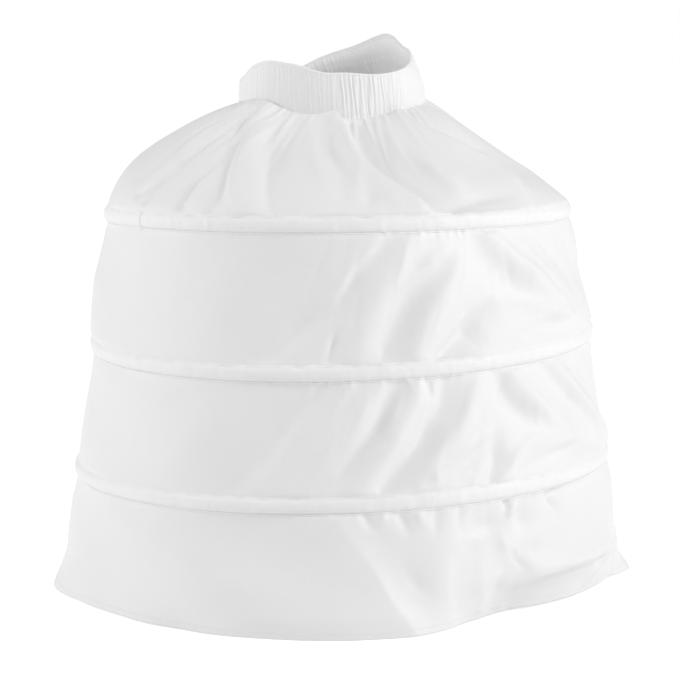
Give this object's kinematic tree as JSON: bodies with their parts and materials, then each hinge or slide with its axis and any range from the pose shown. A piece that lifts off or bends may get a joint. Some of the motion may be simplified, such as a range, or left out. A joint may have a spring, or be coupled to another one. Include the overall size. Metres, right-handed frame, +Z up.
{
  "type": "three-hoop petticoat",
  "caption": "White hoop petticoat with an elastic waistband, a gathered yoke and hoops in tape casings, standing on its hem.",
  "frame": {"origin": "middle of the hem, on the surface it stands on", "axes": "+Z up the skirt towards the waist, front faces -Y, +X to the right in the front view"},
  "size_m": [0.602, 0.602, 0.555],
  "materials": {
    "skirt_cloth": "smooth white woven lining cloth with a soft sheen",
    "waistband_cloth": "white woven cloth, finely gathered",
    "casing_tape": "white woven tape, stitched along both edges",
    "elastic": "white ribbed elastic",
    "hoop_strip": "white plastic coat over a spring strip",
    "sleeve_metal": "crimped sheet sleeve"
  },
  "bodies": {
    "root": {"skirt_front_panel": "skirt_cloth", "skirt_back_panel": "skirt_cloth", "waistband": "waistband_cloth", "waist_elastic": "elastic", "casing_lower": "casing_tape", "casing_middle": "casing_tape", "casing_upper": "casing_tape", "hoop_lower": "hoop_strip", "hoop_middle": "hoop_strip", "hoop_upper": "hoop_strip", "hoop_sleeve_lower": "sleeve_metal", "hoop_sleeve_middle": "sleeve_metal", "hoop_sleeve_upper": "sleeve_metal"}
  },
  "joints": []
}
